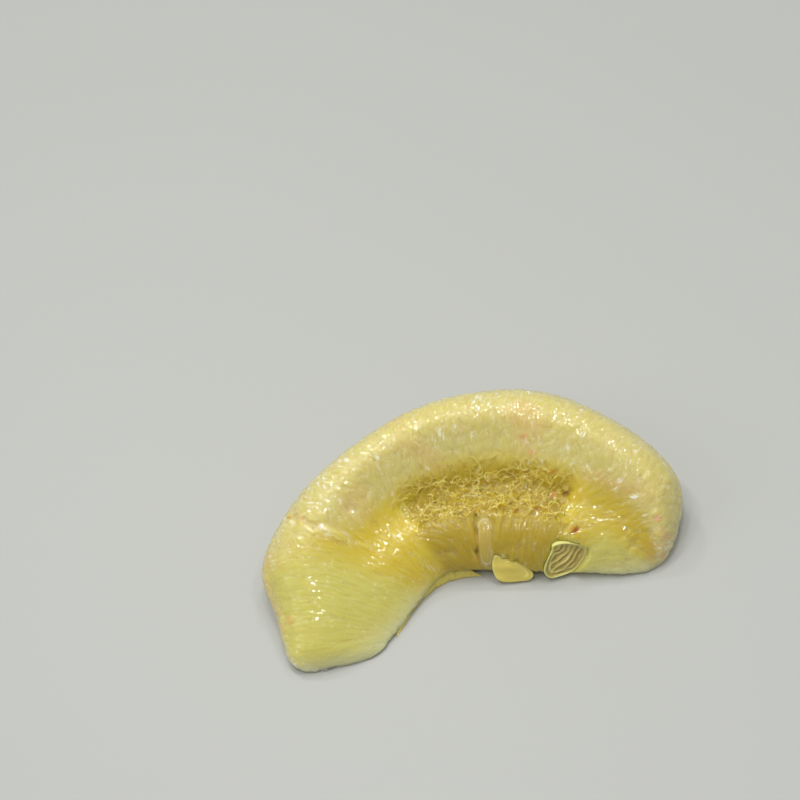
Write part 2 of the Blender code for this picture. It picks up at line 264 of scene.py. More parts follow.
def zones(along, round_it):
    """How much each place belongs to the leg, the hollow, the bundle and so on, from 0 to 1."""
    across = (round_it + 0.1) % 1.0 - 0.1
    zone = {}
    zone["leg"] = 1 - smooth(0.27, 0.36, along + 0.10 * smooth(0.3, 0.5, across))
    zone["under"] = smooth(0.76, 0.79, across)
    zone["rind"] = smooth(0.52, 0.60, across) * (1 - zone["under"])
    zone["hollow"] = (
        smooth(0.37, 0.46, along) * (1 - smooth(0.71, 0.77, along))
        * smooth(0.150, 0.180, across) * (1 - smooth(0.245, 0.350, across))
    )
    zone["bundle"] = (
        smooth(0.37, 0.42, along) * (1 - smooth(0.74, 0.79, along)) * (1 - smooth(0.160, 0.175, across))
    )
    zone["right"] = smooth(0.74, 0.80, along) * (1 - smooth(0.30, 0.36, across))
    zone["low_right"] = smooth(0.78, 0.86, along) * (1 - smooth(0.12, 0.24, across))
    zone["tail"] = smooth(0.85, 0.92, along)
    zone["ridge"] = smooth(0.27, 0.33, across) * (1 - zone["rind"]) * (1 - zone["under"]) * (1 - zone["leg"])
    return zone


# For each zone: length, width, stand above the skin and depth of creases in mm, sway in radians, and how
# high a sac is for its width
SAC_RULES = [
    ("", (6.0, 2.2, 0.03, 0.03, 0.22, 0.38)),
    ("ridge", (5.4, 2.5, 0.05, 0.0, 0.42, 0.40)),
    ("leg", (11.0, 1.9, 0.03, 0.03, 0.08, 0.36)),
    ("right", (9.0, 2.2, 0.02, 0.02, 0.14, 0.28)),
    ("tail", (4.6, 2.5, 0.10, 0.12, 0.26, 0.48)),
    ("rind", (4.6, 2.8, 0.08, 0.10, 0.45, 0.46)),
    ("hollow", (3.7, 2.6, -0.50, 0.20, 0.70, 0.32)),
    ("bundle", (10.0, 1.7, 0.12, 0.08, 0.10, 0.42)),
    ("under", (10.0, 2.6, 0.0, 0.15, 0.14, 0.35)),
]


def sac_rule(along, round_it):
    """Length, width, stand, crease depth, sway and height for its width of the sacs there."""
    zone = zones(along, round_it)
    values = np.tile(np.array(SAC_RULES[0][1]), (len(along), 1))
    for name, rule in SAC_RULES[1:]:
        values = blend(values, np.array(rule), zone[name][:, None])
    values[:, :4] *= MM
    return values


def flow(along, round_it, turn):
    """Which way a sac runs there, outwards, and how far a metre of it goes along and round the wedge."""
    by_along, by_round, out = wedge_slopes(along, round_it)
    ahead = unit(by_round)
    # At the feet sacs run straight on from core edge to rind edge, not round the tip
    core, rind = plan_edges(spread_at_feet(along))
    plan = unit(np.column_stack([rind - core, np.zeros(len(core))]))
    straight = plan - out * dot(plan, out)[:, None]
    foot = 1 - smooth(0.05, 0.13, np.minimum(along, 1 - along))
    weight = foot * smooth(0.3, 0.6, np.linalg.norm(straight, axis=1))
    straight = unit(straight) * np.where(dot(straight, ahead) < 0, -1, 1)[:, None]
    ahead = unit(blend(ahead, straight, weight[:, None]))
    ahead = ahead * np.cos(turn)[:, None] + np.cross(out, ahead) * np.sin(turn)[:, None]
    a, b, c = dot(by_along, by_along), dot(by_along, by_round), dot(by_round, by_round)
    p, q = dot(ahead, by_along), dot(ahead, by_round)
    spread = np.maximum(a * c - b * b, 1e-12)
    return ahead, out, (p * c - q * b) / spread, (q * a - p * b) / spread


class Sacs:
    """The places, directions and sizes of a set of juice sacs on the wedge."""

    def __init__(self, along, round_it, draw):
        self.along, self.round_it = np.asarray(along, float), np.asarray(round_it, float)
        count = len(self.along)
        self.place = wedge(self.along, self.round_it)
        rule = sac_rule(self.along, self.round_it)
        self.length, self.width, self.stand, _, sway, self.fullness = rule.T
        size = draw.uniform(0.72, 1.25, count)
        self.length = self.length * size * draw.uniform(0.8, 1.3, count)
        self.width = self.width * size**0.6 * draw.uniform(0.9, 1.15, count)
        self.tint = draw.uniform(0, 1, count)
        self.lift = draw.uniform(-0.5, 1, count)
        self.pale = np.zeros(count)
        self.turn = sway * (1.2 * wander(self.place, 14 * MM, 5) + draw.normal(0, 0.7, count))
        # The left of the bundle leans towards its foot, and sacs fan out to the right beside it
        zone = zones(self.along, self.round_it)
        self.turn = self.turn + np.clip(9 * (0.545 - self.along), 0, 0.75) * zone["bundle"]
        self.turn = self.turn - 0.75 * zone["right"]
        self.ahead, self.out, _, _ = flow(self.along, self.round_it, self.turn)

    def take(self, chosen):
        """The chosen sacs alone."""
        part = object.__new__(Sacs)
        part.__dict__ = {name: values[chosen] for name, values in self.__dict__.items()}
        return part

    def joined(self, other):
        """These sacs and the others."""
        both = object.__new__(Sacs)
        both.__dict__ = {
            name: np.concatenate([values, getattr(other, name)]) for name, values in self.__dict__.items()
        }
        return both

    def traced(self, stations):
        """Where each sac runs at those shares of its half length, as it follows the flow."""
        tracks = {0.0: (self.along, self.round_it, self.ahead)}
        for side in (1, -1):
            along, round_it, before, done = self.along, self.round_it, self.ahead * side, 0.0
            for share in sorted((s for s in stations if s * side > 0), key=abs):
                run = 0.5 * self.length * (abs(share) - done)
                half = 0.5 * run
                step_along = step_round = 0.0
                # The second look at the flow is from the middle of the step
                for _ in range(2):
                    middle = np.clip(along + half * step_along, *ALONG_LIMITS)
                    ahead, _, step_along, step_round = flow(middle, round_it + half * step_round, self.turn)
                    sign = np.where(dot(ahead, before) < 0, -1, 1)
                    step_along, step_round = step_along * sign, step_round * sign
                along = np.clip(along + run * step_along, *ALONG_LIMITS)
                round_it = round_it + run * step_round
                before = ahead * sign[:, None]
                tracks[share] = (along, round_it, before * side)
                done = abs(share)
        return tracks


def scatter_sacs(draw, darts, spacing):
    """Darts thrown evenly over the wedge, of which those stay that land clear of the ones before."""
    along, round_it = draw.uniform(0.004, 0.996, darts), draw.uniform(0, 1, darts)
    by_along, by_round, _ = wedge_slopes(along, round_it)
    area = np.linalg.norm(np.cross(by_along, by_round), axis=1)
    kept = draw.uniform(0, 1, darts) < area / np.quantile(area, 0.97)
    sacs = Sacs(along[kept], round_it[kept], draw)
    # The bundle has strands of its own
    own = zones(sacs.along, sacs.round_it)["bundle"] < 0.5
    sacs = sacs.take(own)
    chosen = []
    half_length, half_width = 0.5 * sacs.length, 0.5 * sacs.width
    for dart in range(len(sacs.along)):
        if chosen:
            gap = sacs.place[chosen] - sacs.place[dart]
            square = dot(gap, gap)
            mine = dot(gap, sacs.ahead[dart]) ** 2
            theirs = dot(gap, sacs.ahead[chosen]) ** 2
            distance = mine / half_length[dart] ** 2 + (square - mine) / half_width[dart] ** 2
            distance += theirs / half_length[chosen] ** 2 + (square - theirs) / half_width[chosen] ** 2
            if distance.min() < 2 * spacing**2:
                continue
        chosen.append(dart)
    return sacs.take(np.array(chosen))


def bundle_strands(draw):
    """Long thin sacs side by side at the core edge, which fan out upwards."""
    along, round_it = [], []
    for row, (middle, count) in enumerate([(0.118, 46), (0.040, 36)]):
        for i in range(count):
            place = 0.375 + 0.40 * (i + 0.5 * (row % 2) + draw.uniform(-0.25, 0.25)) / count
            along.append(place)
            round_it.append((middle + draw.uniform(-0.018, 0.018)) % 1.0)
    return Sacs(along, round_it, draw)


def loose_sacs(draw):
    """The few sacs that lie apart, with the sizes and turns that are set for them."""
    along, round_it, length, width, stand, turn, fullness = np.array(LOOSE_SACS).T
    sacs = Sacs(along, round_it, draw)
    sacs.length, sacs.width, sacs.stand = length * MM, width * MM, stand * MM
    sacs.lift[:] = 0
    sacs.turn, sacs.fullness = turn, fullness
    sacs.pale[:] = 1
    sacs.ahead, sacs.out, _, _ = flow(along, round_it, turn)
    return sacs


# What lies in the way of the sacs


def smooth_outline(outline, count):
    """Points in metres on a smooth closed curve through an outline in mm, clockwise seen from the front."""
    loops = np.repeat(np.array(outline)[None] * MM, count, axis=0)
    return around(loops, np.arange(count) / count)


def facing_front(place, lean, turn):
    """A frame whose X runs along the core edge, whose Y climbs it and whose Z looks out to the front."""
    shift = Matrix.Translation(Vector(place) * MM)
    return shift @ Matrix.Rotation(math.radians(turn), 4, "Z") @ Matrix.Rotation(math.radians(lean), 4, "X")


def moved(points, matrix):
    matrix = np.array(matrix)
    return points @ matrix[:3, :3].T + matrix[:3, 3]


def share_of_outline(points, outline):
    """How far out points are from the middle of an outline, as a share of the way to it."""
    rim = smooth_outline(outline, 180)
    angles = np.arctan2(rim[:, 1], rim[:, 0])
    order = np.argsort(angles)
    reach = np.linalg.norm(rim, axis=1)[order]
    here = np.arctan2(points[:, 1], points[:, 0])
    return np.linalg.norm(points[:, :2], axis=1) / np.interp(here, angles[order], reach, period=2 * np.pi)


def clear_pocket(points, place, lean, turn, outline, back):
    """Push what lies before or within a piece back to behind it."""
    matrix = facing_front(place, lean, turn)
    local = moved(points, matrix.inverted())
    share = share_of_outline(local, outline)
    floor = (back - POCKET_GAP) * MM
    inside = (1 - smooth(0.94, 1.0, share)) * (local[:, 2] > floor) * (local[:, 2] < 9 * MM)
    local[:, 2] = blend(local[:, 2], floor, inside)
    return moved(local, matrix)


def clear_pieces(points):
    """The same for the seed and the flap, and nothing goes below the surface that the segment lies on."""
    points = clear_pocket(points, SEED_PLACE, SEED_LEAN, SEED_TURN, SEED_OUTLINE, SEED_BACK)
    points = clear_pocket(points, FLAP_PLACE, FLAP_LEAN, FLAP_TURN, FLAP_OUTLINE, FLAP_BACK)
    points[:, 2] = np.maximum(points[:, 2], 0)
    return points


def openings(points):
    """How far off each gap and crack is, its half width and depth, and how strong its colour is."""
    for along, round_it, radius, deep in GAPS:
        centre = wedge(np.array([along]), np.array([round_it]))
        yield np.linalg.norm(points - centre, axis=1), radius * MM, deep * MM, 1.0
    for line, half_width, deep in CRACKS:
        route = through(line, np.linspace(0, 1, 60))
        route = wedge(route[:, 0], route[:, 1])
        distance = np.min(np.linalg.norm(points[:, None] - route[None], axis=2), axis=1)
        yield distance, half_width * MM, deep * MM, 0.8


def gap_depth(points):
    """How deep the gaps and cracks are at those points, in metres, and how strong their colour is."""
    depth = np.zeros(len(points))
    dark = np.zeros(len(points))
    for distance, half_width, deep, strength in openings(points):
        hole = 1 - smooth(0.3, 1.15, distance / half_width)
        depth = np.maximum(depth, deep * hole)
        dark = np.maximum(dark, strength * hole)
    return depth, dark


def clear_of_openings(sacs):
    """Which sacs leave every gap and crack open."""
    clear = np.full(len(sacs.along), True)
    short = sacs.length < 7 * MM
    for share, room in ((0.0, 0.4), (0.42, 0.1), (-0.42, 0.1)):
        for distance, half_width, _, _ in openings(sacs.place + sacs.ahead * (share * sacs.length)[:, None]):
            clear &= (distance > 0.6 * half_width + room * sacs.width) | (short & (share != 0))
    return clear


def clear_of_sacs(sacs, others):
    """Which sacs don't lie under any of the others."""
    clear = np.full(len(sacs.along), True)
    for other in range(len(others.along)):
        offset = sacs.place - others.place[other]
        ahead = offset @ others.ahead[other]
        aside = np.linalg.norm(offset - ahead[:, None] * others.ahead[other], axis=1)
        ahead = ahead / (0.55 * others.length[other])
        aside = aside / (0.75 * others.width[other])
        clear &= ahead**2 + aside**2 > 1
    return clear


# Meshes


def deselect_all():
    if bpy.context.object and bpy.context.object.mode != "OBJECT":
        bpy.ops.object.mode_set(mode="OBJECT")
    bpy.ops.object.select_all(action="DESELECT")


def vectors_of(items, field):
    """A vector of each of a mesh's points or normals."""
    flat = np.empty(len(items) * 3)
    items.foreach_get(field, flat)
    return flat.reshape(-1, 3)


def set_attributes(mesh, values):
    for name, numbers in values.items():
        numbers = np.asarray(numbers, np.float32)
        kind, field = ("FLOAT", "value") if numbers.ndim == 1 else ("FLOAT_VECTOR", "vector")
        mesh.attributes.new(name, kind, "POINT").data.foreach_set(field, numbers.ravel())


def finish_mesh(obj, merge):
    """Merge meeting points, turn the faces outwards and shade them smooth."""
    deselect_all()
    obj.select_set(True)
    bpy.context.view_layer.objects.active = obj
    bpy.ops.object.mode_set(mode="EDIT")
    bpy.ops.mesh.select_all(action="SELECT")
    if merge:
        bpy.ops.mesh.remove_doubles(threshold=1e-6)
    bpy.ops.mesh.normals_make_consistent(inside=False)
    bpy.ops.object.mode_set(mode="OBJECT")
    bpy.ops.object.shade_smooth()


def shaped_grid(name, columns, stations, shape):
    """A grid wrapped into a closed form: shape gives the points and attributes for places along and round."""
    deselect_all()
    bpy.ops.mesh.primitive_grid_add(x_subdivisions=columns, y_subdivisions=stations, size=1)
    obj = bpy.context.object
    obj.name = obj.data.name = name
    flat = vectors_of(obj.data.vertices, "co") + 0.5
    points, values = shape(flat[:, 0], flat[:, 1])
    obj.data.vertices.foreach_set("co", points.ravel())
    set_attributes(obj.data, values)
    obj.data.update()
    finish_mesh(obj, True)
    return obj


def put_in_place(obj, material, node):
    """Give a finished piece its material, hang it from the root body and hide the imported part that it
    stands for.
    """
    obj.data.materials.clear()
    obj.data.materials.append(material)
    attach(obj, "root")
    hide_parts(node)


def zone_values(along, round_it, points):
    """The attributes that colour the flesh."""
    zone = zones(along, round_it)
    _, dark = gap_depth(points)
    low_right = zone["low_right"]
    bare = np.maximum(zone["ridge"], np.maximum(zone["rind"], zone["tail"]))
    blush = 0.2 * smooth(0.72, 0.98, 0.5 + 0.5 * wander(points, 26 * MM, 31)) * bare
    for spot_along, spot_round, radius, strength in SPOTS:
        centre = wedge(np.array([spot_along]), np.array([spot_round]))
        distance = np.linalg.norm(points - centre, axis=1) / (radius * MM)
        blush = np.maximum(blush, strength * (1 - smooth(0.4, 1.2, distance)))
    return {
        "hollow": zone["hollow"],
        "bundle": np.maximum(zone["bundle"], 0.45 * zone["right"] * (1 - low_right)),
        "green": np.maximum(zone["leg"] * (1 - smooth(0.20, 0.30, along)), low_right) * (1 - zone["rind"]),
        "blush": blush,
        "gap": dark,
        "ridge": np.maximum(zone["ridge"], zone["rind"]),
        # Painted light: a paler glow near the surface that the segment lies on, in the leg and at the right
        # end, in place of light bounced up and scattered through the flesh
        "low": (1 - smooth(1 * MM, 8 * MM, points[:, 2])) * np.maximum(zone["leg"], smooth(0.8, 0.9, along)),
    }


# The flesh


def bed_shape(along, round_it):
    """The bed that the sacs sink into: the wedge, a little smaller, with its gaps and cracks."""
    points = wedge(along, round_it)
    _, _, out = wedge_slopes(along, round_it)
    at_foot = smooth(0.0, 0.03, np.minimum(along, 1 - along))
    depth, _ = gap_depth(points)
    depth = (depth + sac_rule(along, round_it)[:, 3]) * at_foot
    return clear_pieces(points - out * depth[:, None]), {}


def sac_form():
    """One juice sac, modelled as a unit spindle along Z, whose points and faces every sac copies."""
    deselect_all()
    bpy.ops.mesh.primitive_uv_sphere_add(segments=10, ring_count=8, radius=1)
    form = bpy.context.object
    points = np.array([vertex.co for vertex in form.data.vertices])
    faces = [tuple(face.vertices) for face in form.data.polygons]
    bpy.data.objects.remove(form)
    return points, faces


def copies_of_form(name, points, form):
    """One mesh of copies of the form, whose points are given copy by copy."""
    firsts = range(0, len(points), len(form[0]))
    faces = [tuple(corner + first for corner in face) for first in firsts for face in form[1]]
    mesh = bpy.data.meshes.new(name)
    mesh.from_pydata(clear_pieces(points).tolist(), [], faces)
    obj = bpy.data.objects.new(name, mesh)
    bpy.context.scene.collection.objects.link(obj)
    finish_mesh(obj, False)
    return obj


def laid_sacs(name, sacs, form, tip_lift):
    """A modelled sac at each place: bent along the wedge and set into it, its tip free or sunk."""
    unit_points = form[0]
    count, corners = len(sacs.along), len(unit_points)
    t = np.round(unit_points[:, 2], 3) + 0.0
    angle = np.tile(np.arctan2(unit_points[:, 1], unit_points[:, 0]), count)
    profile = np.maximum(1 - np.abs(t) ** 2.2, 0) ** 0.55 * (1 - 0.16 * t)
    tracks = sacs.traced(sorted(set(t)))
    along, round_it = (np.stack([tracks[share][i] for share in t], axis=1).ravel() for i in (0, 1))
    ahead = np.stack([tracks[share][2] for share in t], axis=1).reshape(-1, 3)
    spine = wedge(along, round_it)
    _, _, out = wedge_slopes(along, round_it)
    beside = unit(np.cross(out, ahead))
    half_width = (0.5 * sacs.width[:, None] * profile[None]).ravel()
    half_height = half_width * np.repeat(sacs.fullness, corners)
    stand = (sacs.stand * (1 + 0.8 * sacs.lift))[:, None]
    rise = stand * (1 - 1.2 * np.abs(t[None]) ** 3) + (tip_lift * sacs.lift)[:, None] * t[None]
    rise = rise.ravel() - 0.02 * np.repeat(sacs.width * sacs.fullness, corners)
    sideways = beside * (half_width * np.cos(angle))[:, None]
    upwards = out * (rise + half_height * np.sin(angle))[:, None]
    return copies_of_form(name, spine + sideways + upwards, form)


# The tips: lean and heading in radians, half width and height in mm, and how slim and how open they are
TIP_LEAN, TIP_HEADING, TURNED_BACK = (0.05, 0.40), (-0.9, 0.9), 0.7
TIP_SINK, TIP_WIDE, TIP_SLIM, TIP_TALL = 0.15, (1.3, 2.6), (0.45, 0.9), (0.35, 0.65)
DRIED_SHARE, DRIED_OPEN, FRESH_OPEN = 0.9, (0.7, 1), (0, 0.2)
# How wide each ring of a tip is and how high, dried or fresh, from the buried pole over the rim to the middle
RING_WIDE = np.array([0.0, 0.60, 0.85, 1.0, 1.04, 1.0, 0.84, 0.55, 0.0])
RING_DRIED = np.array([-1.0, -0.9, -0.5, 0.0, 0.65, 1.0, 0.10, -0.25, -0.3])
RING_FRESH = np.array([-1.0, -0.9, -0.5, 0.0, 0.35, 0.60, 0.70, 0.75, 0.76])


class Tips:
    """Sac tips that stand up out of the flesh, each with its lean, its size, its waves and how open it is."""

    def __init__(self, sacs, draw):
        count = len(sacs.along)
        lean = draw.uniform(*TIP_LEAN, count)
        heading = draw.uniform(*TIP_HEADING, count)
        heading = heading + np.where(draw.uniform(0, 1, count) < TURNED_BACK, np.pi, 0)
        beside = np.cross(sacs.out, sacs.ahead)
        tilt = sacs.ahead * np.cos(heading)[:, None] + beside * np.sin(heading)[:, None]
        self.place = sacs.place - sacs.out * TIP_SINK * MM
        self.axis = unit(sacs.out * np.cos(lean)[:, None] + tilt * np.sin(lean)[:, None])
        self.first = unit(np.cross(self.axis, tilt))
        self.second = np.cross(self.axis, self.first)
        self.wide = draw.uniform(*TIP_WIDE, count) * MM
        self.narrow = self.wide * draw.uniform(*TIP_SLIM, count)
        self.tall = draw.uniform(*TIP_TALL, count) * MM
        dried = draw.uniform(0, 1, count) < DRIED_SHARE
        self.opened = np.where(dried, draw.uniform(*DRIED_OPEN, count), draw.uniform(*FRESH_OPEN, count))
        self.second_wave, self.third_wave = draw.uniform(0, 6, (2, count))

    def waves(self, tips, angle):
        """How far out those tips reach in a direction, as a share of their radius."""
        second, third = self.second_wave[tips], self.third_wave[tips]
        return 1 + 0.18 * np.sin(2 * angle + second) + 0.14 * np.sin(3 * angle + third)

    def built(self, name, form):
        """The tips as one mesh: some closed, some dried in with a curled rim."""
        unit_points = form[0]
        t = np.round(unit_points[:, 2], 3) + 0.0
        angle = np.arctan2(unit_points[:, 1], unit_points[:, 0])
        ring = np.searchsorted(np.unique(t), t)
        rise = blend(RING_FRESH[ring][None], RING_DRIED[ring][None], self.opened[:, None])
        wave = self.waves(np.arange(len(self.wide))[:, None], angle[None]) * RING_WIDE[ring]
        points = self.place[:, None]
        for direction, reach in (
            (self.first, self.wide[:, None] * wave * np.cos(angle)),
            (self.second, self.narrow[:, None] * wave * np.sin(angle)),
            (self.axis, rise * self.tall[:, None]),
        ):
            points = points + direction[:, None] * reach[:, :, None]
        return copies_of_form(name, points.reshape(-1, 3), form)

    def reach(self, points):
        """How far out each point is from the middles of its nearest two tips, as shares of their radius."""
        nearest = np.full((len(points), 2), 3.0)
        for tip in range(len(self.wide)):
            offset = points - self.place[tip]
            close = np.where(dot(offset, offset) < (2.5 * self.wide[tip]) ** 2)[0]
            offset = offset[close]
            x, y, z = (offset @ part[tip] for part in (self.first, self.second, self.axis))
            x, y = x / self.wide[tip], y / self.narrow[tip]
            share = np.hypot(x, y) / self.waves(tip, np.arctan2(y, x)) + np.maximum(np.abs(z) / MM - 1.0, 0)
            nearest[close] = np.sort(np.column_stack([nearest[close], share]), axis=1)[:, :2]
        return nearest


def fused(name, parts, voxel, most_faces):
    """One closed body out of parts that run into each other, thinned to so many triangles."""
    deselect_all()
    for part in parts:
        part.select_set(True)
    body = parts[0]
    bpy.context.view_layer.objects.active = body
    bpy.ops.object.join()
    body.name = body.data.name = name
    body.data.remesh_voxel_size = voxel
    bpy.ops.object.voxel_remesh()
    faces = 2 * len(body.data.polygons)
    if faces > most_faces:
        thin = body.modifiers.new("thin", "DECIMATE")
        thin.ratio = most_faces / faces
        bpy.ops.object.modifier_apply(modifier=thin.name)
    bpy.ops.object.shade_smooth()
    return body


def nearest_in(places, points):
    """The number of the nearest of those places to each point."""
    tree = kdtree.KDTree(len(places))
    for number, place in enumerate(places):
        tree.insert(place, number)
    tree.balance()
    return np.array([tree.find(point)[1] for point in points])


def mesh_normals(body):
    return vectors_of(body.data.vertex_normals, "vector")


def evened(body, values, steps):
    """Vectors of the mesh's points, evened out over so many steps of the mesh."""
    edges = np.empty(len(body.data.edges) * 2, np.int64)
    body.data.edges.foreach_get("vertices", edges)
    first, second = edges[0::2], edges[1::2]
    total = len(values)
    count = np.bincount(edges, minlength=total)
    for _ in range(steps):
        sums = [
            np.bincount(first, column[second], total) + np.bincount(second, column[first], total)
            for column in values.T
        ]
        values = 0.4 * values + 0.6 * np.column_stack(sums) / count[:, None]
    return values


# Over how many steps of the mesh things are evened out, and where along each sac its spine is looked up
SKIN_STEPS, PIT_STEPS, FINE_STEPS, BROAD_STEPS = 14, 8, 3, 9
SAC_STATIONS = (-0.95, -0.8, -0.6, -0.4, -0.2, 0.0, 0.2, 0.4, 0.6, 0.8, 0.95)


def colour_flesh(body, sacs, tips):
    """Write the attributes that colour the flesh: its zones, its sacs, their walls and creases."""
    points = vectors_of(body.data.vertices, "co")
    along, round_it = (grid.ravel() for grid in np.meshgrid(np.linspace(0, 1, 360), np.linspace(0, 1, 200)))
    nearest = nearest_in(wedge(along, round_it), points)
    values = zone_values(along[nearest], round_it[nearest], points)
    # The outward direction without the sacs, and stray pits filled up to their neighbourhood
    values["skin"] = unit(evened(body, mesh_normals(body), SKIN_STEPS))
    even = evened(body, points, PIT_STEPS)
    pit = smooth(0.06 * MM, 0.16 * MM, dot(even - points, values["skin"]))
    pit = pit * np.clip(1 - 2 * values["hollow"], 0, 1) * np.clip(1 - 3 * values["gap"], 0, 1)
    points = blend(points, even, pit[:, None])
    points[:, 2] = np.maximum(points[:, 2], 0)
    body.data.vertices.foreach_set("co", points.ravel())
    body.data.update()
    tracks = sacs.traced(SAC_STATIONS)
    spines = np.concatenate([wedge(*tracks[station][:2]) for station in SAC_STATIONS])
    aheads = np.concatenate([tracks[station][2] for station in SAC_STATIONS])
    nearest = nearest_in(spines, points)
    owner = nearest % len(sacs.along)
    values["tint"] = sacs.tint[owner]
    values["pale"] = sacs.pale[owner]
    # Where each point is in its own sac, so that fibres can run along it
    offset = points - spines[nearest]
    station = np.array(SAC_STATIONS)[nearest // len(sacs.along)]
    way = station * 0.5 * sacs.length[owner] + dot(offset, aheads[nearest])
    side = dot(offset, np.cross(sacs.out[owner], aheads[nearest]))
    values["fibre"] = np.column_stack([side, way, sacs.tint[owner]])
    values["wall"] = np.hypot(side / (0.5 * sacs.width[owner]), (way / (0.5 * sacs.length[owner])) ** 2)
    values["reach"], values["next_reach"] = tips.reach(points).T
    # How much lower each point is than its neighbourhood
    normals = mesh_normals(body)
    near_by = evened(body, points, FINE_STEPS)
    fine, broad = dot(near_by - points, normals), dot(evened(body, near_by, BROAD_STEPS) - points, normals)
    in_hollow = np.clip(1.5 * values["hollow"], 0, 1)
    # Painted shade: broad creases, most of all in the hollow, get a darker ochre, with the deeper tone of the
    # juice there
    values["crease"] = smooth(0.02 * MM, 0.30 * MM, broad) * np.clip(0.2 + values["hollow"], 0, 1)
    # Fine creases are painted paler: partly the pale membranes between sacs, partly painted light against the
    # shade in them
    values["rim"] = smooth(0.0, 0.06 * MM, fine) * (1 - in_hollow)
    set_attributes(body.data, values)


# The seed and the membranes


def ringed_shape(outline, rings, frame_of_piece, relief):
    """The shape of a piece made of rings of one outline: share of the outline and height in mm for each."""

    def shape(along, round_share):
        ring = through(rings, along)
        corner = around(np.repeat(np.array(outline)[None] * MM, len(along), axis=0), round_share)
        at_end = (along <= 0) | (along >= 1)
        share = np.where(at_end, 0, ring[:, 0])
        points = np.column_stack([corner * share[:, None], ring[:, 1] * MM])
        points, values = relief(points, along, share)
        points[at_end, :2] = 0
        return moved(points, frame_of_piece), values

    return shape


def inner_fold(points, share, place, near, far, low, high):
    """A fold that runs inside the rim, at that share of the outline, and fades out towards one end."""
    diagonal = (points[:, 0] + points[:, 1]) / MM
    return (1 - smooth(near, far, np.abs(share - place))) * smooth(low, high, diagonal)


def seed_relief(points, along, share):
    """The ridges that run over the seed's hollow face, and its raised rim."""
    front = along > 0.5
    turn = math.radians(40)
    across = points[:, 1] * math.cos(turn) - points[:, 0] * math.sin(turn)
    ahead = points[:, 0] * math.cos(turn) + points[:, 1] * math.sin(turn)
    across = across + 0.25 * MM * np.sin(ahead / (1.7 * MM) + 0.8)
    fade = np.maximum(0, 1 - (share / 0.88) ** 6) * front
    ridge = np.cos(2 * np.pi * across / (1.7 * MM) + 1.5 * wander(points * (1, 1, 0), 4.5 * MM, 21))
    # The rim is widest along the top, and a second one runs inside it at the other end
    start = blend(0.87, 0.76, smooth(0, 3 * MM, points[:, 1]))
    rim = smooth(start, start + 0.08, share)
    second_rim = inner_fold(points, share, 0.74, 0.03, 0.07, 1, -2) * front
    points[:, 2] += fade * (0.30 * MM * ridge + 0.08 * MM * np.cos(2 * np.pi * across / (0.55 * MM)))
    points[:, 2] += 0.25 * MM * wander(points * (1, 1, 0), 5 * MM, 12) * front * (share > 0)
    points[:, 2] += 0.30 * MM * second_rim * (share > 0)
    return points, {"rim": np.maximum(rim, 0.8 * second_rim), "ridge": fade * smooth(-0.4, 0.8, ridge)}


def flap_relief(points, along, share):
    """Soft folds in the flap, and its thicker edge."""
    front = along > 0.3
    points[:, 2] += 0.18 * MM * wander(points * (1, 1, 0), 6 * MM, 4) * front * (share > 0)
    # A fold runs inside the top edge
    fold = inner_fold(points, share, 0.72, 0.04, 0.12, -1, 2) * front
    points[:, 2] += 0.25 * MM * fold
    return points, {"rim": np.maximum(smooth(0.88, 0.96, share), 0.8 * fold)}


def strip_shape(along, round_share):
    """The strip of membrane along the core edge, with its ruffles."""
    foot = [row[:2] for row in STRIP_ROUTE]
    route = through(foot, along) * MM
    way = unit(through(foot, np.minimum(along + 0.01, 1)) - through(foot, np.maximum(along - 0.01, 0)))
    out = np.column_stack([way[:, 1], -way[:, 0]])
    height, lean = (through([row[column] for row in STRIP_ROUTE], along)[:, 0] * MM for column in (2, 3))
    at_ends = np.minimum(1.0, 0.15 + 5 * np.minimum(along, 1 - along))
    places = np.column_stack([along * 110 * MM, np.zeros(len(along)), np.zeros(len(along))])
    ruffle = (0.3 + 0.7 * smooth(0.0, 0.3, along)) * (0.4 + 0.6 * smooth(1.0, 0.8, along))
    ruffle = ruffle * (1 + 0.16 * wander(places, 9 * MM, 3))
    section = around(np.repeat(np.array(STRIP_SECTION)[None], len(along), axis=0), round_share)
    side, rise = section[:, 0], np.clip(section[:, 1], 0, 1)
    half = 0.45 * MM * at_ends * (1 + 0.3 * wander(places, 5 * MM, 6))
    wave = 0.3 * MM * wander(places, 6 * MM, 9) * rise
    shift = side * half + wave - 0.8 * MM - lean * at_ends * rise**1.5
    plan = route + out * shift[:, None]
    points = np.column_stack([plan, rise * height * ruffle * at_ends])
    ends = (along <= 0) | (along >= 1)
    points[ends] = np.column_stack([route, 0.4 * height])[ends]
    return points, {"rim": smooth(0.55, 1.0, rise)}


# Materials


FLESH_COLOURS = [
    "Body", "Deep Body", "Ridge", "Hollow", "Bundle", "Green", "Low", "Blush", "Wall", "Curl", "Streak",
    "Crease", "Gap",
]
FLESH_STRENGTHS = ["Wall Strength", "Crease Strength"]
WET_FRUIT = {
    "Subsurface Radius": (1.0, 0.85, 0.35),
    "Subsurface Scale": 3.5 * MM,
    "IOR": 1.38,
    "Coat Roughness": 0.08,
    "Coat IOR": 1.34,
}


def give(tree, node, inputs):
    """Link the inputs of a node, or set their values."""
    for name, value in inputs.items():
        if isinstance(value, bpy.types.NodeSocket):
            tree.links.new(value, node.inputs[name])
        else:
            node.inputs[name].default_value = value


def new_node(tree, kind, inputs, **settings):
    node = tree.nodes.new(kind)
    for name, value in settings.items():
        setattr(node, name, value)
    give(tree, node, inputs)
    return node


def attribute(tree, name, output="Fac"):
    settings = {"attribute_name": name, "attribute_type": "GEOMETRY"}
    return new_node(tree, "ShaderNodeAttribute", {}, **settings).outputs[output]


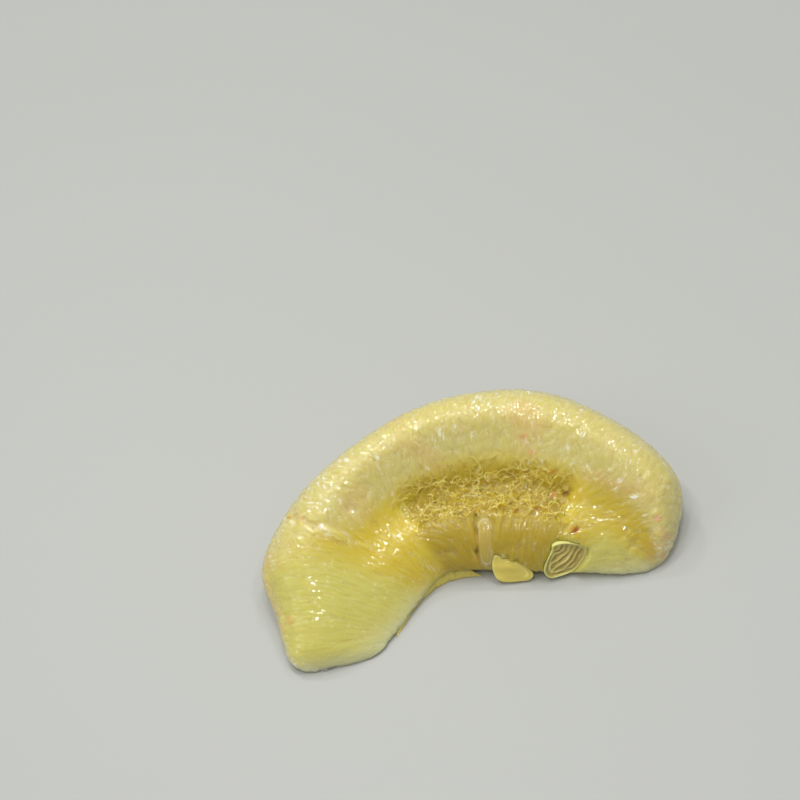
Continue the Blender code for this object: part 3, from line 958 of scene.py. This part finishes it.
def mixed(tree, share, first, second):
    return new_node(tree, "ShaderNodeMix", {0: share, 6: first, 7: second}, data_type="RGBA").outputs[2]


def maths(tree, operation, first, *others, clamp=False):
    """Values put together by one operation, from left to right."""
    for other in others or (0.0,):
        inputs = {0: first, 1: other}
        first = new_node(tree, "ShaderNodeMath", inputs, operation=operation, use_clamp=clamp).outputs[0]
    return first


def bumps(tree, height, strength, distance, more=None):
    """The normal of a surface with bumps of that distance."""
    inputs = {"Strength": strength, "Distance": distance, "Height": height, **(more or {})}
    return new_node(tree, "ShaderNodeBump", inputs).outputs[0]


def texture_noise(tree, scale, detail=2.0, stretch=None, coordinates=None):
    coordinates = coordinates or new_node(tree, "ShaderNodeTexCoord", {}).outputs["Object"]
    if stretch:
        inputs = {"Vector": coordinates, "Scale": stretch}
        coordinates = new_node(tree, "ShaderNodeMapping", inputs).outputs[0]
    inputs = {"Vector": coordinates, "Scale": scale, "Detail": detail}
    return new_node(tree, "ShaderNodeTexNoise", inputs).outputs["Fac"]


def between(tree, value, low, high, to_low=0.0, to_high=1.0):
    """A smooth step of a value from one number at low to another at high."""
    inputs = {0: value, 1: low, 2: high, 3: to_low, 4: to_high}
    return new_node(tree, "ShaderNodeMapRange", inputs, interpolation_type="SMOOTHSTEP").outputs[0]


def thin_line(tree, value, place, half_width):
    """A thin line where a value passes a place."""
    offset = maths(tree, "ABSOLUTE", maths(tree, "SUBTRACT", value, place))
    return between(tree, offset, 0.25 * half_width, half_width, 1.0, 0.0)


def group(name, inputs, outputs):
    """An empty shader node group with those sockets."""
    tree = bpy.data.node_groups.new(name, "ShaderNodeTree")
    for direction, sockets in (("INPUT", inputs), ("OUTPUT", outputs)):
        for socket, kind in sockets:
            tree.interface.new_socket(socket, in_out=direction, socket_type=f"NodeSocket{kind}")
    return tree, tree.nodes.new("NodeGroupInput"), tree.nodes.new("NodeGroupOutput")


def flesh_tone_group():
    """The colour of the flesh: a tone for each sac and zone, pale walls that are partly painted light in the
    creases, painted shade deeper in the creases, gaps, a painted sheen on the ridge, a painted glow near the
    floor and painted glints.
    """
    inputs = [(name, "Color") for name in FLESH_COLOURS] + [(name, "Float") for name in FLESH_STRENGTHS]
    outputs = [("Color", "Color"), ("Shine", "Float"), ("Wet", "Float")]
    tree, given, made = group("flesh_tone", inputs, outputs)
    given = given.outputs
    names = ("ridge", "hollow", "bundle", "pale", "blush", "crease", "rim")
    ridge, hollow, bundle, pale, blush, crease, rim = (attribute(tree, name) for name in names)
    fibre = attribute(tree, "fibre", "Vector")
    patches = texture_noise(tree, 95, 3)
    speckle = texture_noise(tree, 420, 2)
    fibres = texture_noise(tree, 1300, 2, (1, 0.16, 1), fibre)
    in_hollow = between(tree, hollow, 0.04, 0.3)
    # Thin walls: pale lines round the tips that stand, and soft ones along the sacs that lie; in the fine
    # creases the pale tone is partly the membranes between sacs and partly painted light against the shade
    # there
    edge = thin_line(tree, attribute(tree, "wall"), 0.86, 0.15)
    shown = between(tree, texture_noise(tree, 260, 1), 0.44, 0.60, 0.0, 0.75)
    wall = maths(tree, "MULTIPLY", rim, given["Wall Strength"], maths(tree, "MULTIPLY", speckle, 1.6))
    lines = between(tree, fibres, 0.52, 0.72, 0.0, 0.45)
    wall = maths(tree, "MAXIMUM", wall, lines, maths(tree, "MULTIPLY", shown, edge))
    wall = maths(tree, "MULTIPLY", wall, between(tree, ridge, 0.0, 1.0, 0.45, 0.85))
    wall = maths(tree, "MAXIMUM", wall, maths(tree, "MULTIPLY", pale, edge, 0.6))
    wall = maths(tree, "MULTIPLY", wall, between(tree, bundle, 0.2, 0.9, 1.0, 0.6))
    wall = maths(tree, "MULTIPLY", wall, maths(tree, "SUBTRACT", 1.0, in_hollow))
    # Short pale streaks: painted glints, and thin walls that are dry
    glint_and_dry_streaks = between(tree, texture_noise(tree, 620, 0, (1, 0.35, 1), fibre), 0.62, 0.74)
    glint_and_dry_streaks = maths(tree, "MULTIPLY", glint_and_dry_streaks, between(tree, patches, 0.47, 0.60))
    glint_and_dry_streaks = maths(tree, "MULTIPLY", glint_and_dry_streaks, between(tree, ridge, 0.0, 1.0, 0.2, 0.8))
    # Bent rings round the dried tips
    bent = maths(tree, "MULTIPLY", maths(tree, "SUBTRACT", speckle, 0.5), 0.3)
    rings = [
        thin_line(tree, maths(tree, "ADD", attribute(tree, name), bent), place, width)
        for name, place, width in (("reach", 1.0, 0.17), ("next_reach", 1.0, 0.14), ("reach", 0.66, 0.10))
    ]
    rings[2] = maths(tree, "MULTIPLY", rings[2], between(tree, texture_noise(tree, 300, 1), 0.52, 0.62))
    uneven = between(tree, texture_noise(tree, 240, 1), 0.36, 0.56, 0.2, 0.8)
    ring = maths(tree, "MULTIPLY", maths(tree, "MAXIMUM", *rings), uneven, in_hollow)
    # The colours lie over each other in this order
    share = new_node(
        tree, "ShaderNodeMath", {0: attribute(tree, "tint"), 1: 0.7, 2: -0.2}, operation="MULTIPLY_ADD"
    )
    share = maths(tree, "ADD", share.outputs[0], patches, clamp=True)
    tone = mixed(tree, share, given["Body"], given["Deep Body"])
    for name, share in (
        # Partly painted sheen: the ridge's pale tone also stands for the broad highlight on its wet top
        ("Ridge", maths(tree, "MULTIPLY", ridge, 0.75)),
        ("Green", maths(tree, "MULTIPLY", attribute(tree, "green"), 0.65)),
        ("Hollow", between(tree, hollow, 0.25, 0.95, 0.0, 0.85)),
        ("Bundle", maths(tree, "MULTIPLY", bundle, 0.85)),
        # Painted light: the pale glow near the surface that the segment lies on
        ("Low", maths(tree, "MULTIPLY", attribute(tree, "low"), 0.6)),
        ("Blush", maths(tree, "MULTIPLY", blush, between(tree, speckle, 0.3, 0.6, 0.3, 0.9))),
        # Painted shade in the creases; the line after it is darker grain along the fibres
        ("Crease", maths(tree, "MULTIPLY", crease, given["Crease Strength"], clamp=True)),
        ("Crease", between(tree, fibres, 0.50, 0.30, 0.0, 0.28)),
        ("Wall", maths(tree, "MULTIPLY", pale, 0.12)),
        ("Wall", wall),
        # Painted glints and dry walls, near white
        ("Streak", glint_and_dry_streaks),
        ("Curl", ring),
        ("Gap", attribute(tree, "gap")),
    ):
        tone = mixed(tree, share, tone, given[name])
    wet = between(tree, maths(tree, "MAXIMUM", hollow, bundle), 0.1, 0.9, 1.0, 0.35)
    give(tree, made, {"Color": tone, "Shine": texture_noise(tree, 260, 2), "Wet": wet})
    return tree


def new_material(name):
    """A material with its node tree and its shader."""
    material = bpy.data.materials.new(name)
    material.use_nodes = True
    return material, material.node_tree, material.node_tree.nodes["Principled BSDF"]


def flesh_material(looks):
    material, tree, shader = new_material("wet_juice_sacs")
    tone = new_node(tree, "ShaderNodeGroup", {}, node_tree=flesh_tone_group())
    for name in FLESH_COLOURS + FLESH_STRENGTHS:
        value = getattr(looks, name.lower().replace(" ", "_"))
        tone.inputs[name].default_value = (*value, 1) if name in FLESH_COLOURS else value
    inputs = {0: tone.outputs["Shine"], 1: 0.3, 2: 0.7, 3: 0.28, 4: 0.45}
    roughness = new_node(tree, "ShaderNodeMapRange", inputs)
    # The film of juice evens the sacs out, so its highlights are wider than theirs
    normal = new_node(tree, "ShaderNodeNewGeometry", {}).outputs["Normal"]
    inputs = {0: attribute(tree, "skin", "Vector"), 1: (3, 3, 3), 2: normal}
    skin = new_node(tree, "ShaderNodeVectorMath", inputs, operation="MULTIPLY_ADD")
    film = new_node(tree, "ShaderNodeVectorMath", {0: skin.outputs[0]}, operation="NORMALIZE")
    # The wet surface is wavy, more along the sacs than across, and catches the light in spots and streaks
    waves = texture_noise(tree, 420, 0, (1, 0.35, 1), attribute(tree, "fibre", "Vector"))
    height = maths(tree, "ADD", waves, maths(tree, "MULTIPLY", texture_noise(tree, 480, 0), 0.8))
    give(tree, shader, WET_FRUIT | {
        "Base Color": tone.outputs["Color"],
        "Roughness": roughness.outputs[0],
        "Subsurface Weight": 1.0,
        "Subsurface Scale": 6 * MM,
        "Specular IOR Level": 0.3,
        "Coat Weight": tone.outputs["Wet"],
        "Coat Roughness": 0.10,
        "Coat IOR": 1.62,
        "Coat Normal": bumps(tree, height, 0.9, 0.45 * MM, {"Normal": film.outputs[0]}),
    })
    return material


def seed_material(looks):
    material, tree, shader = new_material("seed_coat")
    fibres = texture_noise(tree, 500, 3, (1, 4, 1))
    groove = mixed(tree, fibres, (*looks.seed_groove, 1), (*looks.seed_ridge, 1))
    face = mixed(tree, attribute(tree, "ridge"), groove, (*looks.seed_ridge, 1))
    give(tree, shader, WET_FRUIT | {
        "Base Color": mixed(tree, attribute(tree, "rim"), face, (*looks.seed_rim, 1)),
        "Normal": bumps(tree, fibres, 0.5, 0.2 * MM),
        "Roughness": 0.42,
        "Subsurface Weight": 0.15,
        "Coat Weight": 0.25,
    })
    return material


def membrane_material(name, looks, scale):
    material, tree, shader = new_material(name)
    plain, edge = (*looks.membrane, 1), (*looks.membrane_edge, 1)
    cloudy = texture_noise(tree, scale, 3)
    tone = mixed(tree, maths(tree, "MULTIPLY", attribute(tree, "rim"), 0.85), plain, edge)
    give(tree, shader, WET_FRUIT | {
        "Base Color": mixed(tree, maths(tree, "MULTIPLY", cloudy, 0.35), tone, edge),
        "Normal": bumps(tree, cloudy, 0.35, 0.2 * MM),
        "Roughness": 0.38,
        "Subsurface Weight": 0.3,
        "Coat Weight": 0.2,
    })
    return material


def colour(red, green, blue):
    """A display colour from 0 to 255 as Blender's own numbers."""
    shares = [channel / 255 for channel in (red, green, blue)]
    return tuple(round(s / 12.92 if s <= 0.04045 else ((s + 0.055) / 1.055) ** 2.4, 4) for s in shares)


def colour_property(name, description, red, green, blue):
    return FloatVectorProperty(
        name=name, description=description, default=colour(red, green, blue), subtype="COLOR", min=0, max=1
    )


def share_property(name, description, default):
    return FloatProperty(name=name, description=description, default=default, min=0, max=1)


def length_property(name, description, default):
    return FloatProperty(name=name, description=description, default=default, unit="LENGTH")


def count_property(name, description, default, least):
    return IntProperty(name=name, description=description, default=default, min=least)


class PomeloLooks(bpy.types.PropertyGroup):
    """Colours of the segment."""

    body: colour_property("Body", "Paler tone of the sacs", 224, 204, 60)
    deep_body: colour_property("Deep body", "Stronger tone of the sacs", 220, 193, 40)
    # Partly painted sheen: the pale tone along the ridge also stands for its broad wet highlight
    ridge: colour_property("Ridge", "Tone along the ridge", 220, 210, 138)
    hollow: colour_property("Hollow", "Tone in the hollow below the ridge", 168, 140, 24)
    bundle: colour_property("Bundle", "Tone of the bundle at the core edge", 180, 154, 44)
    green: colour_property("Green", "Tint of the flat ends", 214, 214, 126)
    # Painted light: a pale glow near the surface that the segment lies on
    low: colour_property("Low", "Tone near the surface that it lies on", 244, 240, 190)
    blush: colour_property("Blush", "Pink and orange spots", 240, 164, 108)
    # Pale walls between sacs; in the fine creases this tone is partly painted light against the shade
    wall: colour_property("Wall", "Pale walls between sacs", 250, 242, 194)
    curl: colour_property("Curl", "Curled rims of the tips in the hollow", 224, 204, 100)
    # Painted glints, and dry thin walls: short near-white streaks
    streak: colour_property("Streak", "Short dry streaks", 255, 252, 236)
    # Painted shade: a darker ochre for the creases, also used for darker grain along the fibres
    crease: colour_property("Crease", "Creases between sacs", 184, 152, 40)
    gap: colour_property("Gap", "Deep gaps between sacs", 214, 148, 44)
    # How much walls show, with the painted light in the fine creases
    wall_strength: share_property("Wall strength", "How much walls show", 0.4)
    # How much of the painted crease shade shows
    crease_strength: share_property("Crease strength", "How much creases show", 0.4)
    seed_rim: colour_property("Seed rim", "Rim of the seed", 234, 230, 140)
    seed_ridge: colour_property("Seed ridges", "Ridges on the seed's face", 230, 211, 122)
    seed_groove: colour_property("Seed grooves", "Grooves on the seed's face", 130, 100, 56)
    membrane: colour_property("Membrane", "Smooth membrane", 232, 208, 96)
    membrane_edge: colour_property("Membrane edge", "Edges of the membrane", 255, 238, 136)
    floor: colour_property("Floor", "Surface that the segment lies on", 188, 189, 183)


class PomeloSizes(bpy.types.PropertyGroup):
    """Sizes and numbers of the segment."""

    seed: count_property("Draw", "Seed of every random draw", 11, 0)
    darts: count_property("Darts", "Tries to place a sac", 60000, 1000)
    spacing: FloatProperty(
        name="Spacing", description="Room between sacs in half widths", default=1.02, min=0.5
    )
    columns: count_property("Columns", "Columns of the bed under the sacs", 300, 20)
    stations: count_property("Stations", "Stations round the bed", 120, 20)
    voxel: length_property("Voxel", "Fineness at which the sacs are fused", 0.42 * MM)
    most_faces: count_property("Most triangles", "Triangles of the flesh", 198000, 1000)
    tip_lift: length_property("Tip lift", "How far loose tips stand up", 0.03 * MM)


def all_sacs(sizes):
    draw = np.random.default_rng(sizes.seed)
    sacs = scatter_sacs(draw, sizes.darts, sizes.spacing).joined(bundle_strands(draw))
    loose = loose_sacs(draw)
    return sacs.take(clear_of_openings(sacs) & clear_of_sacs(sacs, loose)).joined(loose)


class PieceOperator(bpy.types.Operator):
    """Builds one piece of the segment."""

    bl_options = {"REGISTER", "UNDO"}

    @property
    def looks(self):
        return bpy.context.scene.pomelo_looks

    @property
    def sizes(self):
        return bpy.context.scene.pomelo_sizes


class POMELO_OT_flesh(PieceOperator):
    """Build the juice sacs and fuse them with the bed that they sink into"""

    bl_idname = "pomelo.flesh"
    bl_label = "Flesh"

    def execute(self, context):
        sacs = all_sacs(self.sizes)
        form = sac_form()
        draw = np.random.default_rng(self.sizes.seed + 1)
        # The edge of the hollow is ragged
        hollow = zones(sacs.along, sacs.round_it)["hollow"]
        ragged = hollow + 0.35 * draw.normal(0, 1, len(sacs.along))
        standing = (ragged >= 0.45) & (hollow > 0.02) & (sacs.pale < 1)
        tips = Tips(sacs.take(standing), draw)
        parts = [
            shaped_grid("bed", self.sizes.columns, self.sizes.stations, bed_shape),
            laid_sacs("laid_sacs", sacs, form, self.sizes.tip_lift),
            tips.built("standing_tips", form),
        ]
        flesh = fused("fused_sacs", parts, self.sizes.voxel, self.sizes.most_faces)
        colour_flesh(flesh, sacs, tips)
        put_in_place(flesh, flesh_material(self.looks), "flesh")
        return {"FINISHED"}


class POMELO_OT_seed(PieceOperator):
    """Build the seed with its rim and the ridges on its face"""

    bl_idname = "pomelo.seed"
    bl_label = "Seed"

    def execute(self, context):
        rings = [
            (0.0, SEED_BACK), (0.45, SEED_BACK), (0.80, -3.8), (0.97, -2.2), (1.00, -0.5), (0.985, 0.30),
            (0.95, 0.42), (0.90, 0.10), (0.85, -0.45), (0.66, -0.5), (0.44, -0.4), (0.24, -0.3),
            (0.10, -0.25), (0.0, -0.25),
        ]
        shape = ringed_shape(SEED_OUTLINE, rings, facing_front(SEED_PLACE, SEED_LEAN, SEED_TURN), seed_relief)
        seed = shaped_grid("seed_body", 64, 96, shape)
        put_in_place(seed, seed_material(self.looks), "seed")
        return {"FINISHED"}


class POMELO_OT_flap(PieceOperator):
    """Build the smooth flap of membrane beside the seed"""

    bl_idname = "pomelo.flap"
    bl_label = "Flap of membrane"

    def execute(self, context):
        rings = [
            (0.0, FLAP_BACK), (0.40, FLAP_BACK), (0.85, -1.2), (1.00, -0.4), (0.98, 0.35), (0.88, 0.55),
            (0.70, 0.55), (0.45, 0.85), (0.18, 1.0), (0.0, 1.0),
        ]
        shape = ringed_shape(FLAP_OUTLINE, rings, facing_front(FLAP_PLACE, FLAP_LEAN, FLAP_TURN), flap_relief)
        flap = shaped_grid("flap_of_membrane", 48, 80, shape)
        material = membrane_material("waxy_membrane", self.looks, 160)
        put_in_place(flap, material, "membrane_flap")
        return {"FINISHED"}


class POMELO_OT_strip(PieceOperator):
    """Build the strip of membrane along the core edge"""

    bl_idname = "pomelo.strip"
    bl_label = "Strip of membrane"

    def execute(self, context):
        strip = shaped_grid("strip_of_membrane", 260, 28, strip_shape)
        material = membrane_material("moist_membrane", self.looks, 240)
        put_in_place(strip, material, "core_membrane")
        return {"FINISHED"}


class POMELO_OT_stage(PieceOperator):
    """Set up the floor, the soft light and the camera"""

    bl_idname = "pomelo.stage"
    bl_label = "Stage"

    def execute(self, context):
        scene = bpy.context.scene
        deselect_all()
        bpy.ops.mesh.primitive_plane_add(size=6, location=(0, 0, -0.05 * MM))
        floor = bpy.context.object
        floor.name = "floor"
        material, tree, shader = new_material("pale_floor")
        plain = self.looks.floor
        darker = [channel * 0.97 for channel in plain]
        tone = mixed(tree, texture_noise(tree, 3, 2), (*plain, 1), (*darker, 1))
        give(tree, shader, {"Base Color": tone, "Roughness": 0.45})
        floor.data.materials.append(material)
        for name, place, size, power in LIGHTS:
            light = bpy.data.objects.new(name, bpy.data.lights.new(name, "AREA"))
            light.data.size = size
            light.data.energy = power
            away = Vector(place)
            light.matrix_world = Matrix.Translation(away) @ away.to_track_quat("Z", "Y").to_matrix().to_4x4()
            scene.collection.objects.link(light)
        world = bpy.data.worlds.new("pale_room")
        world.use_nodes = True
        tree = world.node_tree
        give(tree, tree.nodes["Background"], {"Color": (0.95, 0.97, 1.0, 1), "Strength": 0.36})
        scene.world = world
        scene.view_settings.view_transform = "Standard"
        camera = bpy.data.objects.new("camera", bpy.data.cameras.new("camera"))
        camera.data.lens = CAMERA_LENS
        camera.data.sensor_width = 36
        camera.data.clip_start = 0.01
        scene.collection.objects.link(camera)
        away = Vector((0, -math.cos(CAMERA_ELEVATION), math.sin(CAMERA_ELEVATION)))
        camera.matrix_world = (
            Matrix.Translation(CAMERA_AIM + away * CAMERA_DISTANCE)
            @ Matrix.Rotation(math.radians(90) - CAMERA_ELEVATION, 4, "X")
            @ Matrix.Rotation(-CAMERA_ROLL, 4, "Z")
        )
        scene.camera = camera
        return {"FINISHED"}


OPERATORS = (POMELO_OT_stage, POMELO_OT_flesh, POMELO_OT_seed, POMELO_OT_flap, POMELO_OT_strip)


class POMELO_PT_sidebar(bpy.types.Panel):
    """Lists the pieces of the segment"""

    bl_idname = "POMELO_PT_sidebar"
    bl_label = "Pomelo segment"
    bl_space_type = "VIEW_3D"
    bl_region_type = "UI"
    bl_category = "Pomelo"

    def draw(self, context):
        layout = self.layout
        for operator in OPERATORS:
            layout.operator(operator.bl_idname)
        for settings in (context.scene.pomelo_sizes, context.scene.pomelo_looks):
            for name in settings.__annotations__:
                layout.prop(settings, name)


CLASSES = (PomeloLooks, PomeloSizes, *OPERATORS, POMELO_PT_sidebar)


def register():
    for cls in CLASSES:
        bpy.utils.register_class(cls)
    bpy.types.Scene.pomelo_looks = PointerProperty(type=PomeloLooks)
    bpy.types.Scene.pomelo_sizes = PointerProperty(type=PomeloSizes)


def unregister():
    del bpy.types.Scene.pomelo_looks
    del bpy.types.Scene.pomelo_sizes
    for cls in reversed(CLASSES):
        bpy.utils.unregister_class(cls)


def main():
    register()
    bpy.ops.pomelo.stage()
    bpy.ops.pomelo.flesh()
    bpy.ops.pomelo.seed()
    bpy.ops.pomelo.flap()
    bpy.ops.pomelo.strip()


if __name__ == "__main__":
    main()
